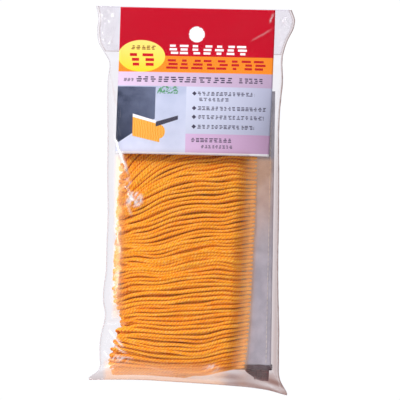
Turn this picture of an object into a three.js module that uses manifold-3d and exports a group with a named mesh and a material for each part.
// A replacement string-mop head, hanging in its clear retail bag with a header card.
// Millimetres. +Z up, +X to the right, and the front of the pack faces -Y.
// The origin is the centre of the punched hang hole.
import * as THREE from "three";
import * as BufferGeometryUtils from "three/addons/utils/BufferGeometryUtils.js";
import Module from "manifold-3d";

const wasm = await Module();
wasm.setup();

// ---- driving dimensions ----
const GAP = 0.3; // left between pieces that touch
const FILM = 0.4; // stand-in thickness of the 0.05 mm film
const HOLE_RADIUS = 6;

const BAG_TOP = 20;
const BAG_BOTTOM = -262;
const BAG_CENTRE_X = -1.5;
const FLAT_HALF_WIDTH = 75; // of the empty bag, laid flat
const FULL_HALF_WIDTH = 66; // where the contents fill it
const HEADER_HALF_FRONT = 1.3; // film's outer face to the mid-plane, at the header
const HEADER_HALF_BACK = 0.9;
const FRONT_BULGE = 22.5;
const BACK_BULGE = 20.5;
const FRONT_FLAT_END = -8; // the header's front film is flat above this height
const BULGE_FULL_TOP = -72;
const SHOULDER_ROWS = 6;
const SHOULDER_ROW = (FRONT_FLAT_END - BULGE_FULL_TOP) / SHOULDER_ROWS;
const BACK_FLAT_END = FRONT_FLAT_END - SHOULDER_ROW; // the flap holds the back film flat
const BULGE_FULL_BOTTOM = -218;
const SHOULDER_POWER = 1.5; // how gently the bag starts to bulge below its header
const FOOT_POWER = 1.7; // how roundly it closes on the bottom weld
const CROWN_FLATNESS = 3; // a cross-section's flat middle and round sides
const CROWN_ROUNDNESS = 2.4;
const WELD_WIDTH = 1.4;

const FLAP_LENGTH = 34;
const STRIP = { left: -52, right: 52, low: -13, high: -8, thick: 0.5 };

const CARD = { left: -57.5, right: 58.5, top: 19.4, bottom: -90, thick: 0.4 };
const CARD_SLACK = 1.1; // more room between the card and the bulging film
const CARD_BEND_LOWER = 3; // the card bends forward this far below the film

const SLEEVE = { left: 16, right: 60, top: -43, mouth: -247, halfDepth: 3.9, cloth: 0.8 };
const SLEEVE_EDGE = { folded: 1, seamed: 1.2, closed: 1.5 }; // thickness at each closed edge
const HEM = { height: 3, proud: 0.2 };
const STITCHING = { inset: 2.7, width: 0.8, proud: 0.5, endInset: 2 };
const TAB = { left: 41, right: 60, height: 8, thick: 0.9, backY: 3.2, tipY: 0.2 };

const YARN = { freeEnd: -61.5, seam: 43, top: -40, bottom: -255.5, hanks: 5 };
const YARN_CLEARANCE = 3.4; // yarn to the film's outer face
const YARN_THINNEST = 1.4; // of a row of strands where it is sewn down
const SEWN_TAPER = 26; // length over which the strands rise from the seam
const FREE_END_SHARE = 0.72; // a hank's thickness at its free ends
const HANK_ROUNDING = 4;
const SEAM_TAPE = { width: 1.6, thick: 1, endInset: 1 };
const ROW_SAG = 7; // drop of the free ends below the sewn ends

// ---- shape of the filled bag ----
const mix = (a, b, t) => a + (b - a) * t;
const clamp = (t) => Math.min(1, Math.max(0, t));
const smooth = (t) => clamp(t) ** 2 * (3 - 2 * clamp(t));

// How far down the shoulder a height is: 0 where the header is flat, 1 where the bag is full.
function belowHeader(z, side) {
  const flatEnd = side < 0 ? FRONT_FLAT_END : BACK_FLAT_END;
  return clamp((flatEnd - z) / (flatEnd - BULGE_FULL_TOP));
}

// The same at the foot: 1 where the bag is full, 0 at the bottom weld.
function aboveFoot(z) {
  return 1 - clamp((BULGE_FULL_BOTTOM - z) / (BULGE_FULL_BOTTOM - BAG_BOTTOM)) ** FOOT_POWER;
}

// How full the bag is at a height, from 0 at its flat ends to 1.
const fullness = (z, side = -1) => Math.sin((Math.PI / 2) * belowHeader(z, side)) * aboveFoot(z);

const halfWidth = (z) => mix(FLAT_HALF_WIDTH, FULL_HALF_WIDTH, Math.sqrt(fullness(z)));
const filmHalfWidth = (z) => halfWidth(z) - WELD_WIDTH - GAP;

// Place in y of the film's outer face at x and z: side -1 is the front, +1 the back.
function filmY(side, x, z, inset) {
  const flat = side < 0 ? HEADER_HALF_FRONT : HEADER_HALF_BACK;
  const bulge = side < 0 ? FRONT_BULGE : BACK_BULGE;
  const across = clamp(Math.abs(x - BAG_CENTRE_X) / filmHalfWidth(z));
  const crown = (1 - across ** CROWN_FLATNESS) ** (1 / CROWN_ROUNDNESS);
  const shoulder = Math.sin((Math.PI / 2) * belowHeader(z, side)) ** SHOULDER_POWER;
  const foot = smooth(3 * aboveFoot(z)) * aboveFoot(z) ** 0.4;
  return side * (Math.max(mix(flat, bulge * crown, shoulder * foot), flat) - inset);
}

// ---- solids ----
function geometryOf(positions, triangles) {
  const geometry = new THREE.BufferGeometry();
  geometry.setAttribute("position", new THREE.Float32BufferAttribute(positions, 3));
  geometry.setIndex(triangles);
  return geometry;
}

// The triangles that join each closed ring of points to the next one.
function ringWalls(ringCount, pointsEach) {
  const triangles = [];
  for (let r = 0; r + 1 < ringCount; r++) {
    for (let i = 0; i < pointsEach; i++) {
      const a = r * pointsEach + i;
      const b = r * pointsEach + ((i + 1) % pointsEach);
      triangles.push(a, b, b + pointsEach, a, b + pointsEach, a + pointsEach);
    }
  }
  return triangles;
}

// A closed solid from rings of points: each ring is one convex cross-section, in order.
function loft(rings) {
  const count = rings[0].length;
  const triangles = ringWalls(rings.length, count);
  const last = (rings.length - 1) * count;
  for (let i = 1; i + 1 < count; i++) {
    triangles.push(0, i + 1, i);
    triangles.push(last, last + i, last + i + 1);
  }
  return outward(geometryOf(rings.flat(2), triangles));
}

// Turns a closed surface right side out.
function outward(geometry) {
  const p = geometry.attributes.position;
  const index = geometry.index;
  const corner = (k) => new THREE.Vector3().fromBufferAttribute(p, index.getX(k));
  let volume = 0;
  for (let k = 0; k < index.count; k += 3) {
    volume += corner(k).dot(corner(k + 1).cross(corner(k + 2)));
  }
  if (volume < 0) {
    for (let k = 0; k < index.count; k += 3) {
      const b = index.getX(k + 1);
      index.setX(k + 1, index.getX(k + 2));
      index.setX(k + 2, b);
    }
  }
  return geometry;
}

// A shell between two faces given over a grid of xs and zs, each by its depth y.
function shell(columns, heights, outerY, innerY) {
  const rings = heights.map((z) => {
    const xs = columns(z);
    const outer = xs.map((x) => [x, outerY(x, z), z]);
    const inner = xs.map((x) => [x, innerY(x, z), z]);
    return [...outer, ...inner.reverse()];
  });
  const count = rings[0].length;
  const triangles = ringWalls(rings.length, count);
  for (const row of [0, rings.length - 1]) {
    for (let i = 0; i + 1 < count / 2; i++) {
      const a = row * count + i;
      const b = row * count + (count - 1 - i);
      const quad = [a, b, b - 1, a, b - 1, a + 1];
      triangles.push(...(row > 0 ? quad.reverse() : quad));
    }
  }
  return outward(geometryOf(rings.flat(2), triangles));
}

function toManifold(geometry) {
  const bare = geometry.clone();
  bare.deleteAttribute("normal");
  bare.deleteAttribute("uv");
  const merged = BufferGeometryUtils.mergeVertices(bare, 1e-4);
  const vertProperties = new Float32Array(merged.attributes.position.array);
  const triVerts = new Uint32Array(merged.index.array);
  return new wasm.Manifold(new wasm.Mesh({ numProp: 3, vertProperties, triVerts }));
}

function fromManifold(solid) {
  const mesh = solid.getMesh();
  return geometryOf(Array.from(mesh.vertProperties), Array.from(mesh.triVerts));
}

// Punches the hang hole through a piece of the header.
function punched(geometry) {
  const punch = new THREE.CylinderGeometry(HOLE_RADIUS, HOLE_RADIUS, 20, 24);
  return fromManifold(toManifold(geometry).subtract(toManifold(punch)));
}

function boxBetween(low, high) {
  const geometry = new THREE.BoxGeometry(high[0] - low[0], high[1] - low[1], high[2] - low[2]);
  geometry.translate((low[0] + high[0]) / 2, (low[1] + high[1]) / 2, (low[2] + high[2]) / 2);
  return geometry;
}

const steps = (from, to, count) =>
  Array.from({ length: count + 1 }, (_, i) => mix(from, to, i / count));

// ---- group and materials ----
const group = new THREE.Group();

const material = (color, roughness) =>
  new THREE.MeshStandardMaterial({ color, roughness, metalness: 0 });
const CLEAR_FILM = material(0xe8e4f0, 0.15);
const WELD = material(0xd8d4e0, 0.25);
const ADHESIVE = material(0xf2eee0, 0.6);
const CARD_STOCK = material(0xcd1432, 0.35);
const CLOTH = material(0xd8d4dc, 0.9);
const DARK_TAPE = material(0x2b2024, 0.85);
const BROWN_TAPE = material(0x5f4141, 0.8);
const THREAD = material(0xece6da, 0.8);
const ORANGE_YARN = material(0xf09628, 0.95);

function add(name, geometry, look) {
  const mesh = new THREE.Mesh(geometry, look);
  mesh.name = name;
  group.add(mesh);
}

// ---- the bag ----
const SHOULDER_HEIGHTS = [7, 0, ...steps(FRONT_FLAT_END, BULGE_FULL_TOP, SHOULDER_ROWS)];
const FILM_HEIGHTS = [
  BAG_TOP, ...SHOULDER_HEIGHTS, CARD.bottom, -150, ...steps(BULGE_FULL_BOTTOM, BAG_BOTTOM, 5),
].sort((a, b) => b - a);
const HALF_COLUMNS = [0.3, 0.6, 0.82, 0.93, 0.975, 1];
const FILM_COLUMNS = [...HALF_COLUMNS.map((u) => -u).reverse(), 0, ...HALF_COLUMNS];

function addFilm(name, side) {
  const columns = (z) => FILM_COLUMNS.map((u) => BAG_CENTRE_X + u * filmHalfWidth(z));
  const outer = (x, z) => filmY(side, x, z, 0);
  const inner = (x, z) => filmY(side, x, z, FILM);
  add(name, punched(shell(columns, FILM_HEIGHTS, outer, inner)), CLEAR_FILM);
}

// The hot-cut side weld, a narrow ribbon that follows the bag's outline.
function addSideWeld(name, side) {
  const thick = HEADER_HALF_BACK;
  const rings = FILM_HEIGHTS.map((z) => {
    const outer = BAG_CENTRE_X + side * halfWidth(z);
    const inner = outer - side * WELD_WIDTH;
    return [[outer, -thick, z], [inner, -thick, z], [inner, thick, z], [outer, thick, z]];
  });
  add(name, loft(rings), WELD);
}

function addBottomWeld() {
  const half = FLAT_HALF_WIDTH;
  const low = [BAG_CENTRE_X - half, -HEADER_HALF_BACK, BAG_BOTTOM - GAP - WELD_WIDTH];
  const high = [BAG_CENTRE_X + half, HEADER_HALF_BACK, BAG_BOTTOM - GAP];
  add("bottom_weld", boxBetween(low, high), WELD);
}

// The closing flap is turned over the back of the mouth and held by a strip of adhesive.
function addFlap() {
  const half = FLAT_HALF_WIDTH - WELD_WIDTH;
  const stripFront = HEADER_HALF_BACK + GAP;
  const stripBack = stripFront + STRIP.thick;
  const flapFront = stripFront + 2 * GAP;
  const low = [BAG_CENTRE_X - half, flapFront, BAG_TOP - FLAP_LENGTH];
  const high = [BAG_CENTRE_X + half, flapFront + FILM, BAG_TOP];
  add("closing_flap", punched(boxBetween(low, high)), CLEAR_FILM);
  const stripLow = [STRIP.left, stripFront, STRIP.low];
  add("flap_adhesive_strip", boxBetween(stripLow, [STRIP.right, stripBack, STRIP.high]), ADHESIVE);
}

// ---- the header card ----
function cardY(x, z, depth) {
  const slack = CARD_SLACK * smooth(fullness(z + CARD_BEND_LOWER) * 3);
  return filmY(-1, x, z + CARD_BEND_LOWER, FILM + GAP + slack + depth);
}

function addCard() {
  const middle = (CARD.left + CARD.right) / 2;
  const half = (CARD.right - CARD.left) / 2;
  const spread = [-1, -0.8, -0.55, -0.28, 0, 0.28, 0.55, 0.8, 1];
  const columns = () => spread.map((u) => middle + u * half);
  const heights = [CARD.top, ...SHOULDER_HEIGHTS, CARD.bottom];
  const front = (x, z) => cardY(x, z, 0);
  const back = (x, z) => cardY(x, z, CARD.thick);
  add("header_card", punched(shell(columns, heights, front, back)), CARD_STOCK);
}

// ---- the mop's cloth sleeve ----
const SIDES = [["front", -1], ["back", 1]];

// A flat piece parallel to the sleeve, between two depths on one side of the mid-plane.
function slab(side, near, far, left, right, low, high) {
  const ys = [side * near, side * far].sort((a, b) => a - b);
  return boxBetween([left, ys[0], low], [right, ys[1], high]);
}

function addSleeve() {
  const { left, right, top, mouth, halfDepth, cloth } = SLEEVE;
  const inside = halfDepth - cloth;
  const foldedLeft = right + GAP;
  const foldedRight = foldedLeft + SLEEVE_EDGE.folded;
  const seamedRight = left - GAP;
  const seamedLeft = seamedRight - SLEEVE_EDGE.seamed;
  const between = (x0, x1, z0, z1) => boxBetween([x0, -halfDepth, z0], [x1, halfDepth, z1]);
  add("sleeve_folded_edge", between(foldedLeft, foldedRight, mouth, top), CLOTH);
  add("sleeve_inner_seam", between(seamedLeft, seamedRight, mouth, top), CLOTH);
  const endLow = top + GAP;
  const end = between(seamedLeft, foldedRight, endLow, endLow + SLEEVE_EDGE.closed);
  add("sleeve_closed_end", end, CLOTH);

  const hemTop = mouth - GAP;
  const hemLow = hemTop - HEM.height;
  const stitchNear = halfDepth + GAP;
  const stitchFar = stitchNear + STITCHING.proud;
  const stitchRight = right - STITCHING.inset;
  const stitchLeft = stitchRight - STITCHING.width;
  const stitchLow = mouth + STITCHING.endInset;
  const stitchTop = top - STITCHING.endInset;
  for (const [name, side] of SIDES) {
    const panel = slab(side, inside, halfDepth, left, right, mouth, top);
    add(`sleeve_${name}_panel`, panel, CLOTH);
    const hem = slab(side, inside, halfDepth + HEM.proud, left, right, hemLow, hemTop);
    add(`mouth_hem_${name}`, hem, DARK_TAPE);
    const row = slab(side, stitchNear, stitchFar, stitchLeft, stitchRight, stitchLow, stitchTop);
    add(`edge_stitching_${name}`, row, THREAD);
  }
}

// The brown tab hangs from the back hem and folds forward over the mouth.
const HINGE_Z = SLEEVE.mouth - GAP - HEM.height - 2 * GAP - TAB.thick / 2;

function addTab() {
  const { left, right, height, thick, backY, tipY } = TAB;
  const half = thick / 2;
  const rings = [left, right].map((x) => [
    [x, backY - half, HINGE_Z + half],
    [x, backY + half, HINGE_Z + half],
    [x, tipY + half, HINGE_Z - height],
    [x, tipY - half, HINGE_Z - height],
  ]);
  add("closure_tab", loft(rings), BROWN_TAPE);
}

// ---- the yarn ----
// One hank: a block of strands from the sewn ends to the free ends, between two depths.
function hank(fromX, low, high, frontY, backY) {
  const rings = steps(fromX, YARN.freeEnd, 6).map((x) => {
    const along = (fromX - x) / (fromX - YARN.freeEnd);
    const sag = -ROW_SAG * along ** 2;
    const z0 = low + sag;
    const z1 = high + sag;
    const y0 = frontY(x, z0, z1);
    const y1 = backY(x, z0, z1);
    const middle = (y0 + y1) / 2;
    const share = x === YARN.freeEnd ? FREE_END_SHARE : 1;
    const front = mix(middle, y0, share);
    const back = mix(middle, y1, share);
    const round = Math.min(HANK_ROUNDING, (back - front) / 4);
    return [
      [x, front, z0 + round], [x, front, z1 - round],
      [x, front + round, z1], [x, back - round, z1],
      [x, back, z1 - round], [x, back, z0 + round],
      [x, back - round, z0], [x, front + round, z0],
    ];
  });
  return loft(rings);
}

// The yarn's outer place in y, thinning towards the seam where it is sewn to the sleeve.
function yarnY(side, x, z0, z1) {
  const depths = [z0, z1].map((z) => Math.abs(filmY(side, x, z, YARN_CLEARANCE)));
  const room = Math.min(...depths);
  const sewn = Math.min(room, SLEEVE.halfDepth + YARN_THINNEST + 2);
  return side * mix(sewn, room, smooth((YARN.seam - x) / SEWN_TAPER + 0.12));
}

function addYarn() {
  const height = (YARN.top - YARN.bottom - ROW_SAG) / YARN.hanks;
  const inner = SLEEVE.halfDepth + GAP;
  const coreEdge = SLEEVE.left - SLEEVE_EDGE.seamed - 2 * GAP;
  const level = (y) => () => y;
  for (let i = 0; i < YARN.hanks; i++) {
    const high = YARN.top - i * height - GAP;
    const low = YARN.top - (i + 1) * height;
    const outer = (side) => (x, z0, z1) => yarnY(side, x, z0, z1);
    const front = hank(YARN.seam, low, high, outer(-1), level(-inner));
    const middle = hank(coreEdge, low, high, level(GAP - inner), level(inner - GAP));
    const back = hank(YARN.seam, low, high, level(inner), outer(1));
    add(`front_fringe_${i + 1}`, front, ORANGE_YARN);
    add(`middle_fringe_${i + 1}`, middle, ORANGE_YARN);
    add(`back_fringe_${i + 1}`, back, ORANGE_YARN);
  }
  const seamLeft = YARN.seam + GAP;
  const seamLow = SLEEVE.mouth + SEAM_TAPE.endInset;
  const seamTop = SLEEVE.top - SEAM_TAPE.endInset;
  for (const [name, side] of SIDES) {
    const right = seamLeft + SEAM_TAPE.width;
    const tape = slab(side, inner, inner + SEAM_TAPE.thick, seamLeft, right, seamLow, seamTop);
    add(`fringe_seam_${name}`, tape, THREAD);
  }
}

addFilm("bag_front_film", -1);
addFilm("bag_back_film", 1);
addSideWeld("left_side_weld", -1);
addSideWeld("right_side_weld", 1);
addBottomWeld();
addFlap();
addCard();
addSleeve();
addTab();
addYarn();

export default group;
